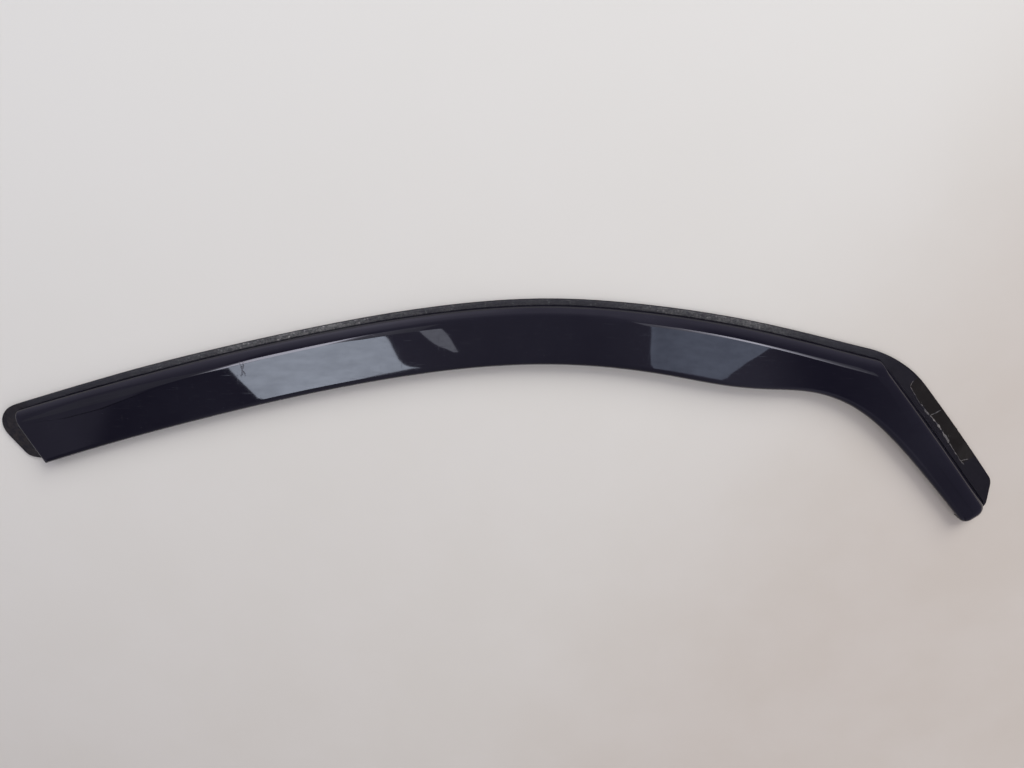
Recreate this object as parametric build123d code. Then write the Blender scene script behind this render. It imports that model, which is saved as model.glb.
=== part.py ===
from build123d import *
import math
import os

# Window rain deflector for a front door: one moulded acrylic sheet, lying on its car side with
# the gloss face up. Drawn in millimetres, X towards the front of the car, Y towards the roof.

# Sheet, and heights above the surface the flange lies on
sheet = 3.0
roll_start = 5.0
crown_height = 14.0
lip_bottom = 9.5

# Groove where the raised visor meets the flange: its corners, and its direction at each
rear_corner = Vector(-458.6, -25.1)
bend_corner = Vector(331, 24.5)
front_corner = Vector(456, -126)
rear_heading = 17.0
bend_heading = -14.2
arm_heading = -49.0
rear_cut_heading = -65.0

# Widths across the visor, measured inwards from the groove
visor_depth = 55.0
arm_depth = 25.8

# How far each side of the visor would roll inwards before it lay flat, and the share of it by
# which the shoulder is narrower over the middle of the arch
shoulder_roll = 23.0
shoulder_waist = 0.22
arm_roll = 12.0
front_roll = 9.0
rear_roll = 3.0
hem_roll = 8.5

# Corners of the visor, measured from the corner to where its rounding begins, and by how much
# the rounding at the bend widens as the sides roll inwards
rear_reach = 6.0
bend_reach = 3.0
bend_soften = 14.0
front_reach = 9.0

# Crown of the gloss face, turned about the centre of the arch
arch_centre = Vector(23, -1048)
crest_radius = 1045.0
crown_radius = 1500.0

# Flange that goes into the window channel, with a tongue at each end
flange_rear_width = 5.0
flange_bend_width = 7.0
flange_waist = 0.9
flange_bend_reach = 35.0
rear_tongue = 24.0
rear_tongue_reach = 26.0
rear_tongue_foot = 16.0
rear_tongue_rise = 11.5
front_tongue = 18.4
tongue_corner = Vector(456.8, -96.6)
tongue_foot = Vector(457, -124.5)
tongue_reach = 5.0


def heading(degrees):
    """Direction in plan, from the X axis."""
    angle = math.radians(degrees)
    return Vector(math.cos(angle), math.sin(angle))


def inward(direction):
    """Direction across an edge, from the groove towards the hem."""
    return Vector(direction.Y, -direction.X)


rear_dir = heading(rear_heading)
bend_dir = heading(bend_heading)
arm_dir = heading(arm_heading)
cut_dir = heading(rear_cut_heading)

# Groove: a long arch over the window, then the arm down the front of it
arch_knots = [(-327, 12.8), (-189, 46.6), (-54, 69.8), (33, 75.1), (121, 68.9), (211, 54.2)]
arch = Spline(rear_corner, *arch_knots, bend_corner, tangents=[rear_dir, bend_dir])
arm = TangentArc(bend_corner, front_corner, tangent=arm_dir)
arm_end_dir = arm % 1
end_dir = inward(arm_end_dir)

# Hem: the free edge, beside the arch and then sweeping round the bend to the arm
hem_rear = rear_corner + cut_dir * visor_depth
hem_front = front_corner + end_dir * arm_depth
hem_knots = [(-275.5, -28.2), (-109, 9), (34, 22.4), (141, 11.8), (197, 1.6)]
sweep_knots = [(233, -1.4), (269, -3.8), (306.5, -16.4), (347, -46.6), (393, -94)]
hem = Spline(hem_rear, *hem_knots, *sweep_knots, hem_front)
hem_rear_dir = hem % 0
hem_front_dir = hem % 1


def beside(curve, shift, first, last, count, change=0, waist=0):
    """Curve beside another one, between two given ends; the gap may change, or have a waist."""
    places = [step / count for step in range(count + 1)]
    points = [first]
    for place in places[1:-1]:
        gap = shift + change * place - 4 * waist * place * (1 - place)
        points.append(curve @ place + inward(curve % place) * gap)
    points.append(last)
    return Edge.make_spline(points, tangents=[curve % 0, curve % 1], parameters=places)


def rounded(corner, arriving, leaving, reach):
    """Arc that rounds a corner, from one edge direction to the next."""
    return TangentArc(corner - arriving * reach, corner + leaving * reach, tangent=arriving)


def crossing(corner, first_dir, first_shift, second_dir, second_shift):
    """Corner of two edges after each has moved inwards by its own amount."""
    a = inward(first_dir)
    b = inward(second_dir)
    spread = a.X * b.Y - a.Y * b.X
    x = (first_shift * b.Y - second_shift * a.Y) / spread
    y = (second_shift * a.X - first_shift * b.X) / spread
    return corner + Vector(x, y)


def visor_outline(level, arch_in, arch_waist, arm_in, front_in, hem_in, rear_in, ease, soften):
    """Plan of the raised visor at one height, each side moved inwards by its own amount."""
    rear = rear_corner + cut_dir * arch_in + rear_dir * rear_in
    bend = crossing(bend_corner, bend_dir, arch_in, arm_dir, arm_in)
    front = front_corner + end_dir * arm_in - arm_end_dir * front_in
    tip = hem_front - end_dir * hem_in - arm_end_dir * front_in
    tail = hem_rear - cut_dir * hem_in + hem_rear_dir * rear_in
    rear_arc = rounded(rear, -cut_dir, rear_dir, rear_reach * ease)
    bend_arc = rounded(bend, bend_dir, arm_dir, bend_reach * ease + soften)
    end_reach = min(front_reach * ease, 0.4 * (tip - front).length)
    front_arc = rounded(front, arm_end_dir, end_dir, end_reach)
    tip_arc = rounded(tip, end_dir, -hem_front_dir, end_reach)
    over = beside(arch, arch_in, rear_arc @ 1, bend_arc @ 0, 8, 0, arch_waist)
    down = TangentArc(bend_arc @ 1, front_arc @ 0, tangent=arm_dir)
    end = Line(front_arc @ 1, tip_arc @ 0)
    back = beside(hem, -hem_in, tail, tip_arc @ 1, 14)
    cut = Line(tail, rear_arc @ 0)
    edges = [over, bend_arc, down, front_arc, end, tip_arc, back, cut, rear_arc]
    return Pos(0, 0, level) * make_face(edges)


def roll(level, start, top, width):
    """How far a rounded side has moved inwards at one height."""
    rise = max(0, level - start) / (top - start)
    return width * (1 - math.sqrt(1 - rise * rise))


def crown_block(crest):
    """All that lies under the crowned face, turned about the centre of the arch."""
    reach = 110.0
    half = math.degrees(math.asin(reach / crown_radius))
    top = CenterArc((crest_radius, crest - crown_radius), crown_radius, 90 - half, 2 * half)
    foot = Polyline(top @ 1, (crest_radius - reach, -5), (crest_radius + reach, -5), top @ 0)
    section = Plane.XZ * make_face([top, foot])
    return Pos(arch_centre.X, arch_centre.Y, 0) * Rot(0, 0, 58) * revolve(section, Axis.Z, 60)


def visor_block(inset, floor, crest):
    """Solid visor: upright sides below, sides rolling inwards above, crowned on top."""
    top = crest + 0.1
    hem_start = lip_bottom + 0.5
    sections = []
    for step in range(9):
        level = roll_start + (top - roll_start) * math.sin(math.radians(10.5 * step))
        shoulder_in = roll(level, roll_start, top, shoulder_roll - inset)
        arch_in = inset + shoulder_in
        arch_waist = shoulder_waist * shoulder_in
        arm_in = inset + roll(level, roll_start, top, arm_roll - inset)
        front_in = inset + roll(level, roll_start, top, front_roll - inset)
        hem_in = inset + roll(level, hem_start, top, hem_roll - inset)
        rear_in = inset + roll(level, roll_start, top, rear_roll)
        ease = 1 - 0.4 * roll(level, roll_start, top, 1) - 0.1 * inset
        soften = roll(level, roll_start, top, bend_soften)
        rolled = (arch_in, arch_waist, arm_in, front_in, hem_in, rear_in)
        sections.append(visor_outline(level, *rolled, ease, soften))
    walls = extrude(sections[0], roll_start - floor, dir=(0, 0, -1))
    return (walls + loft(sections)) & crown_block(crest)


# Raised visor, and the hollow behind it that leaves one thickness of sheet
visor = visor_block(0, 0, crown_height)
hollow = visor_block(sheet, -1, crown_height - sheet)

# Open side under the hem, between the end walls
mouth_rear = hem_rear + hem_rear_dir * sheet
mouth_front = hem_front - arm_end_dir * sheet
outside = beside(hem, 10, mouth_rear + cut_dir * 10, mouth_front + end_dir * 10, 14)
inside = beside(hem, -8, mouth_rear - cut_dir * 8, mouth_front - end_dir * 8, 14)
mouth_ends = [Line(outside @ 0, inside @ 0), Line(outside @ 1, inside @ 1)]
mouth_plan = Pos(0, 0, -1) * make_face([outside, inside, *mouth_ends])
mouth = extrude(mouth_plan, lip_bottom + 1, dir=(0, 0, 1))

# Flange: a narrow edge along the roof side, a tongue behind the rear end and one beside the arm
flange_rear = rear_corner - cut_dir * flange_rear_width
heel = flange_rear - rear_dir * rear_tongue
toe = hem_rear - inward(-cut_dir) * rear_tongue_foot - cut_dir * rear_tongue_rise
side_dir = (toe - heel).normalized()
foot_dir = (hem_rear - toe).normalized()
flange_bend = crossing(bend_corner, bend_dir, -flange_bend_width, arm_dir, -front_tongue)
tip_dir = (tongue_foot - tongue_corner).normalized()
tuck = hem_front - arm_end_dir * 6 - end_dir * 5
tuck_dir = (tuck - tongue_foot).normalized()

heel_arc = rounded(heel, -side_dir, rear_dir, rear_tongue_reach)
toe_arc = rounded(toe, -foot_dir, -side_dir, tongue_reach)
bend_arc = rounded(flange_bend, bend_dir, arm_dir, flange_bend_reach)
tongue_arc = rounded(tongue_corner, arm_end_dir, tip_dir, tongue_reach)
tongue_edge = Spline(bend_arc @ 1, tongue_arc @ 0, tangents=[arm_dir, arm_end_dir])
foot_arc = rounded(tongue_foot, tip_dir, tuck_dir, tongue_reach)
change = flange_rear_width - flange_bend_width
roof_edge = beside(arch, -flange_rear_width, heel_arc @ 1, bend_arc @ 0, 8, change, -flange_waist)
under = beside(hem, -12, hem_rear + hem_rear_dir * 6, tuck, 14)
flange_plan = [
    Line(under @ 0, toe_arc @ 0),
    toe_arc,
    Line(toe_arc @ 1, heel_arc @ 0),
    heel_arc,
    roof_edge,
    bend_arc,
    tongue_edge,
    tongue_arc,
    Line(tongue_arc @ 1, foot_arc @ 0),
    foot_arc,
    Line(foot_arc @ 1, tuck),
    under,
]
flange = extrude(make_face(flange_plan), sheet, dir=(0, 0, 1))

deflector = flange + visor - hollow - mouth

# Origin: middle of the bounding box, on the surface the part lies on
box = deflector.bounding_box()
deflector = Pos(-box.center().X, -box.center().Y, -box.min.Z) * deflector

os.makedirs("parts", exist_ok=True)
export_step(deflector, "parts/deflector.step")
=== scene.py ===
"""Window rain deflector: the dressed model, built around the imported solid."""

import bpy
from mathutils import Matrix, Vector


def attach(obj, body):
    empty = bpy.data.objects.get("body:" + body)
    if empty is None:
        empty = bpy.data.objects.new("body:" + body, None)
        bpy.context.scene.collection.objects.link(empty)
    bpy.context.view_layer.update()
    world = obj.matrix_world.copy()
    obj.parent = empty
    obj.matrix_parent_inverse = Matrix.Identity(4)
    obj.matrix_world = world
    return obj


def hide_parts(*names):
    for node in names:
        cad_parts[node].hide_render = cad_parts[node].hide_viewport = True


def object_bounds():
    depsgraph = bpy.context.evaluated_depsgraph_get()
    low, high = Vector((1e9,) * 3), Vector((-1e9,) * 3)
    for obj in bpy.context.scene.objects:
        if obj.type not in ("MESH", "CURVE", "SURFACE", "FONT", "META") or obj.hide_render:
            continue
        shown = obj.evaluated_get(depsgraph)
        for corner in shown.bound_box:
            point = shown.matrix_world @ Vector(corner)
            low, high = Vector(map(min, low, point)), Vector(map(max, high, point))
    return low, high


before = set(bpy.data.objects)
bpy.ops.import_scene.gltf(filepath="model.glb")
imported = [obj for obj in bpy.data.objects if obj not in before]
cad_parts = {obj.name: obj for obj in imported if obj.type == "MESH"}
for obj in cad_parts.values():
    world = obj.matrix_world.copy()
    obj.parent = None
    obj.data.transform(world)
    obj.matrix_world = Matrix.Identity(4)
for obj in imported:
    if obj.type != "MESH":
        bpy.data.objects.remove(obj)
CAD_BOX = [list(corner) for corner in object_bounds()]

import math

import bmesh
import bpy
import numpy as np
from mathutils import Vector
from bpy.props import FloatProperty, FloatVectorProperty, IntProperty, PointerProperty
from bpy.types import Operator, Panel, PropertyGroup

bl_info = {
    "name": "Window rain deflector",
    "version": (1, 0, 0),
    "blender": (4, 5, 0),
    "location": "View3D > Sidebar > Deflector",
    "description": "Builds a smoked acrylic window deflector on its packed solid, and its stage",
    "category": "Add Mesh",
}

MM = 0.001

# Drawing of the sheet in plan, in millimetres: X to the front of the car, Y to the roof
REAR_CORNER = np.array([-458.6, -25.1])
BEND_CORNER = np.array([331.0, 24.5])
FRONT_CORNER = np.array([456.0, -126.0])
ARCH_KNOTS = [(-327, 12.8), (-189, 46.6), (-54, 69.8), (33, 75.1), (121, 68.9), (211, 54.2)]
HEM_KNOTS = [(-275.5, -28.2), (-109, 9), (34, 22.4), (141, 11.8), (197, 1.6)]
SWEEP_KNOTS = [(233, -1.4), (269, -3.8), (306.5, -16.4), (347, -46.6), (393, -94)]
ARCH_CENTRE = np.array([23.0, -1048.0])
TONGUE_CORNER = np.array([456.8, -96.6])
TONGUE_FOOT = np.array([457.0, -124.5])

# Directions in plan, in degrees from the X axis
REAR_HEADING = 17.0
BEND_HEADING = -14.2
ARM_HEADING = -49.0
CUT_HEADING = -65.0

# Where the flange swells, in shares of the arch, and how far its foot is tucked behind the visor's
# front corner and under the hem, in millimetres
SWELL_PLACE, SWELL_SPREAD = 0.17, 0.11
TUCK_BACK, TUCK_IN = 6.0, 5.0

# Steps of the mesh along each side of the visor, starting at the hem's rear corner
CUT, REAR, OVER, BEND, DOWN, FRONT, END, TIP = 24, 16, 220, 12, 80, 16, 8, 16
ROOF_START = CUT + REAR
ROOF_END = ROOF_START + OVER + BEND + DOWN
WALL_END = ROOF_END + FRONT + END + TIP
HEM_STEPS = OVER + BEND + DOWN
RING = WALL_END + HEM_STEPS

# Steps of one degree up the rolled sides, and the rows there that meet the flange and the hem's lip
ROLL_STEPS = 88
FLANGE_ROW, LIP_ROW = 2, 9

# Small allowances in millimetres: from the crest to where the sides would lie flat, from the lip to
# where the hem begins to roll, from the brim down to the upright rows, and for welding points
CREST_ROOM = 0.1
LIP_EDGE = 0.5
BRIM_ROOM = 0.3
WELD = 0.002

# How far the lower edge of the hem is bevelled, in millimetres, and over how many steps the bevel ends
HEM_BEVEL = 0.45
HEM_TAPER = 6

# Groove between flange and visor: steps from the rear corner to where it opens, steps over which it
# opens and closes, and by which share, where and over what reach it is narrower along the arch
GROOVE_START, GROOVE_OPENS, GROOVE_CLOSES = 3, 5, 6
GROOVE_PINCH, PINCH_PLACE, PINCH_SPREAD = 0.45, 0.52, 0.2

# Flat share of the groove's floor, rows across the flange's top, and the most of the flange's width
# that its edge's rounding takes
GROOVE_FLAT = 0.8
FLANGE_ACROSS = (0, 0.12, 0.4, 0.7, 1)
EDGE_SHARE = 0.3

# Rows of the mesh up the visor's sides: from the wall to the lip, from there to the brim, where they
# crowd, and over the rounded brim, as shares of each
BELOW_LIP = np.array([0.18, 0.4, 0.62, 0.82])
ABOVE_LIP = np.sin(np.radians(np.linspace(6.6, 66, 10))) / math.sin(math.radians(66))
BRIM_TURNS = (0.2, 0.4, 0.6, 0.8, 1)

# How far the brim's rounding reaches down the side: steps of the mesh, shares of its width there, and
# the most of the side that it takes
BRIM_DROP = [CUT, ROOF_START, ROOF_END, ROOF_END + FRONT], [1, 0.35, 0.35, 0.8]
BRIM_SHARE = 0.8

# How much the visor's corners sharpen as the sides roll inwards, and for each millimetre of inset
ROLL_SHARPENS = 0.4
INSET_SHARPENS = 0.1

# Most of the front end that its roundings take, how the steps crowd towards the front end, and the
# share of the visor's depth over which the hem's steps fan out at the bend
END_SHARE = 0.4
CROWDING = 1.5
BEND_FAN = 0.25

# How the gloss face's edge softens along the roof side: steps of the mesh from the rear corner, and
# shares of the soft brim
ROOF_BRIM = [
    (0, 0.6), (6, 1.3), (11, 1.9), (21, 2.0), (29, 1.3), (37, 0.75), (47, 0.27), (85, 0.27), (91, 0.5),
    (112, 0.8), (150, 0.8), (159, 0.3), (176, 0.22), (185, 0.17), (200, 0.14), (218, 0.17),
]


def length(name, text, default):
    """A size of the sheet, given in millimetres and kept in metres."""
    return FloatProperty(name=name, description=text, default=default * MM, unit="LENGTH", precision=5)


def metres(name, text, default):
    """A distance on the stage."""
    return FloatProperty(name=name, description=text, default=default, unit="LENGTH")


def power(name, text, default):
    """A lamp's power in watts."""
    return FloatProperty(name=name, description=text, default=default, subtype="POWER")


def colour(name, text, default):
    """A linear colour."""
    return FloatVectorProperty(
        name=name, description=text, default=default, subtype="COLOR", size=3, min=0, max=1
    )


class DeflectorSizes(PropertyGroup):
    """Sizes of the moulded sheet."""

    sheet: length("Sheet", "Thickness of the acrylic sheet", 3.0)
    wall: length("Wall", "Height at which the visor's sides begin to roll inwards", 5.0)
    crest: length("Crest", "Height of the gloss face's crest", 14.0)
    crest_radius: length("Crest radius", "Distance from the arch's centre to the crest", 1045.0)
    crown_radius: length("Crown radius", "Radius of the gloss face across the visor", 1500.0)
    lip: length("Lip", "Height of the hem lip's lower edge", 9.5)
    visor_depth: length("Visor depth", "Width of the visor at its rear end", 55.0)
    arm_depth: length("Arm depth", "Width of the arm at its front end", 25.8)
    shoulder_roll: length("Shoulder roll", "Width of the rolled shoulder along the roof side", 25.0)
    shoulder_waist: FloatProperty(
        name="Shoulder waist", description="Share by which the shoulder narrows over the arch", default=0.22,
        subtype="FACTOR",
    )
    arm_roll: length("Arm roll", "Width of the rolled shoulder along the arm", 12.0)
    front_roll: length("Front roll", "Width of the roll at the front end", 9.0)
    rear_roll: length("Rear roll", "Width of the roll at the rear end", 3.0)
    hem_roll: length("Hem roll", "Width of the roll above the hem", 7.0)
    rear_reach: length("Rear corner", "Rounding of the visor's rear corner", 6.0)
    bend_reach: length("Bend corner", "Rounding of the groove at the bend", 3.0)
    bend_soften: length("Bend softening", "How much that rounding widens towards the gloss face", 14.0)
    front_reach: length("Front corners", "Rounding of the visor's front corners", 9.0)
    flange_rear: length("Flange at the rear", "Width of the flange at its rear end", 5.0)
    flange_bend: length("Flange at the bend", "Width of the flange at the bend", 7.0)
    flange_waist: length("Flange waist", "How much narrower the flange is over the arch", 0.9)
    flange_swell: length("Flange swell", "How much wider the flange is where the arch rises", 1.0)
    flange_bend_reach: length("Flange bend", "Rounding of the flange at the bend", 35.0)
    rear_tongue: length("Rear tongue", "How far the rear tongue stands out behind the visor", 24.0)
    rear_tongue_reach: length("Rear tongue heel", "Rounding of the rear tongue", 26.0)
    rear_tongue_foot: length("Rear tongue foot", "Width of the rear tongue at its foot", 16.0)
    rear_tongue_rise: length("Rear tongue rise", "How far its foot ends short of the hem", 11.5)
    front_tongue: length("Front tongue", "Width of the front tongue", 18.4)
    tongue_reach: length("Tongue corners", "Rounding of the tongues' small corners", 5.0)
    edge: length("Edge", "Rounding of the flange's edge", 0.8)
    brim_round: length("Brim", "Rounding of the gloss face's edge", 0.7)
    brim_cut: length("Brim at the rear", "Its rounding at the rear end", 1.1)
    brim_soft: length("Soft brim", "Its rounding at the bend and along the arm", 4.5)
    groove_depth: length("Groove depth", "Depth of the groove between flange and visor", 1.0)
    groove_arch: length("Groove over the arch", "Width of the groove along the roof side", 0.55)
    groove_arm: length("Groove along the arm", "Width of the groove at the front of the arm", 2.0)


class DeflectorFinish(PropertyGroup):
    """Colours of the sheet and of what is left on it."""

    acrylic: colour("Acrylic", "Smoked acrylic, navy black", (0.0036, 0.0031, 0.0078))
    bloom: colour("Bloom", "Hazy tint of the worn gloss", (0.0062, 0.0058, 0.0112))
    flange: colour("Flange", "Matte edge that sits in the channel", (0.0165, 0.0162, 0.0200))
    tongue: colour("Tongues", "Matte ends that tuck under the trim", (0.0050, 0.0042, 0.0068))
    rust: colour("Brown dirt", "Dirt worked into the rear tongue", (0.0225, 0.0182, 0.0168))
    scuff: colour("Scuff", "Pale rubbing on the flange", (0.135, 0.134, 0.13))
    fleck: colour("Flecks", "Pale flecks rubbed into the flange", (0.42, 0.41, 0.40))
    underside: colour("Underside", "Plain back of the sheet", (0.010, 0.0096, 0.0135))
    film: colour("Tape film", "Brown black film that the tape left", (0.0052, 0.0038, 0.0028))
    adhesive: colour("Adhesive", "Pale strings of old adhesive", (0.165, 0.155, 0.147))
    seed: IntProperty(name="Wear seed", description="Pattern of the ragged adhesive", default=7, min=0)


class DeflectorStage(PropertyGroup):
    """Camera, floor and light."""

    distance: metres("Distance", "From the camera to its aim", 0.731)
    tilt: FloatProperty(
        name="Tilt", description="Of the view from straight down", default=math.radians(20.5), subtype="ANGLE"
    )
    lens: FloatProperty(name="Lens", description="Focal length on a 36 mm sensor", default=28.125)
    aim: FloatVectorProperty(
        name="Aim", description="Place on the floor that the camera looks at",
        default=(0.00778, 0.02903, 0.0), subtype="TRANSLATION", precision=5,
    )
    floor: colour("Floor", "Pale board", (0.71, 0.712, 0.678))
    # Painted shade: the board turns darker and warmer towards the hem side and beyond the arm, where its
    # light falls off
    floor_shade_hem_side: colour("Floor, hem side", "Pale board towards the hem", (0.558, 0.532, 0.485))
    floor_shade_beyond_arm: colour("Floor, front corner", "Pale board beyond the arm", (0.515, 0.472, 0.422))
    floor_cloud: colour("Floor, clouds", "Faint clouds in the board", (0.72, 0.71, 0.70))
    floor_half: metres("Floor size", "From the middle of the floor to its edge", 6.0)
    backdrop: colour("Backdrop", "Plain backdrop round the floor", (0.60, 0.59, 0.575))
    backdrop_radius: metres("Backdrop radius", "From the middle of the floor to the backdrop", 4.0)
    backdrop_height: metres("Backdrop height", "From the floor to the backdrop's top", 5.0)
    key_power: power("Key", "Large soft light at the roof side", 70.0)
    top_power: power("Top", "Very large light overhead", 22.0)
    fill_power: power("Fill", "Large light at the hem side", 12.5)
    room_dark: colour("Dark side", "Room seen in the gloss face", (0.44, 0.42, 0.54))
    room_pale: colour("Pale side", "Room seen in the shoulder", (0.83, 0.795, 1.0))
    pane_height: metres("Panes", "Height of the lit panes", 1.5)
    strip_rise: metres("Strips", "How far the lit strips hang above the panes", 0.02)


def unit(vector):
    return vector / np.linalg.norm(vector)


def heading(degrees):
    """Direction in plan, from the X axis."""
    return np.array([math.cos(math.radians(degrees)), math.sin(math.radians(degrees))])


def inward(direction):
    """Direction across an edge, from the groove towards the hem."""
    return np.stack([direction[..., 1], -direction[..., 0]], axis=-1)


def smooth_curve(knots, start=None, finish=None, count=1600):
    """Dense row of points on the smooth curve through the knots."""
    p = np.array(knots, float)
    step = np.linalg.norm(np.diff(p, axis=0), axis=1)
    slope = np.diff(p, axis=0) / step[:, None]
    last = len(p) - 1
    matrix = np.eye(last + 1)
    target = np.zeros((last + 1, 2))
    for i in range(1, last):
        matrix[i, i - 1 : i + 2] = step[i], 2 * (step[i - 1] + step[i]), step[i - 1]
        target[i] = 3 * (step[i] * slope[i - 1] + step[i - 1] * slope[i])
    target[0] = start if start is not None else slope[0]
    target[-1] = finish if finish is not None else slope[-1]
    if start is None and last > 1:
        target[0] += (slope[0] - slope[1]) * step[0] / (step[0] + step[1])
    if finish is None and last > 1:
        target[-1] += (slope[-1] - slope[-2]) * step[-1] / (step[-1] + step[-2])
    tangent = np.linalg.solve(matrix, target)
    run = np.concatenate([[0], np.cumsum(step)])
    t = np.linspace(0, run[-1], count)
    k = np.clip(np.searchsorted(run, t, side="right") - 1, 0, last - 1)
    u = ((t - run[k]) / step[k])[:, None]
    h = step[k][:, None]
    return (
        (1 + 2 * u) * (1 - u) ** 2 * p[k]
        + u * (1 - u) ** 2 * h * tangent[k]
        + u**2 * (3 - 2 * u) * p[k + 1]
        + u**2 * (u - 1) * h * tangent[k + 1]
    )


class Rail:
    """A curve in plan, read by the distance along it."""

    def __init__(self, points):
        step = np.linalg.norm(np.diff(points, axis=0), axis=1)
        points = points[np.concatenate([[True], step > 1e-6])]
        self.points = points
        self.run = np.concatenate([[0], np.cumsum(step[step > 1e-6])])
        self.slope = np.gradient(points, self.run, axis=0)
        self.length = self.run[-1]

    def read(self, values, distance):
        return np.stack([np.interp(distance, self.run, values[:, axis]) for axis in (0, 1)], axis=-1)

    def at(self, distance):
        return self.read(self.points, distance)

    def direction(self, distance):
        found = self.read(self.slope, distance)
        return found / np.linalg.norm(found, axis=-1, keepdims=True)

    def beside(self, distance, shift):
        """Points beside the curve, towards the hem."""
        return self.at(distance) + inward(self.direction(distance)) * np.reshape(shift, (-1, 1))


def corner_arc(corner, arriving, leaving, reach, count):
    """Points on the arc that rounds a corner, from one edge direction to the next."""
    side = np.sign(arriving[0] * leaving[1] - arriving[1] * leaving[0])
    turn = math.acos(np.clip(arriving @ leaving, -1, 1))
    start = corner - arriving * reach
    centre = start - inward(arriving) * side * reach / math.tan(turn / 2)
    angle = side * turn * np.linspace(0, 1, count + 1)
    spoke = start - centre
    x = spoke[0] * np.cos(angle) - spoke[1] * np.sin(angle)
    y = spoke[0] * np.sin(angle) + spoke[1] * np.cos(angle)
    return centre + np.stack([x, y], axis=-1)


def tangent_arc(start, finish, direction, count=400):
    """Points on the arc from one point to another that leaves in a given direction."""
    chord = finish - start
    turn = 2 * math.acos(np.clip(unit(chord) @ direction, -1, 1))
    reach = np.linalg.norm(chord) / (2 * math.cos(turn / 2))
    corner = start + direction * reach
    return corner_arc(corner, direction, unit(finish - corner), reach, count)


def crossing(corner, first, first_shift, second, second_shift):
    """Corner of two edges after each has moved inwards by its own amount."""
    across = np.array([inward(first), inward(second)])
    return corner + np.linalg.solve(across, np.array([first_shift, second_shift]))


def changeable(group):
    """Names of a group's own properties."""
    return [name for name in group.bl_rna.properties.keys() if name not in ("rna_type", "name")]


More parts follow.
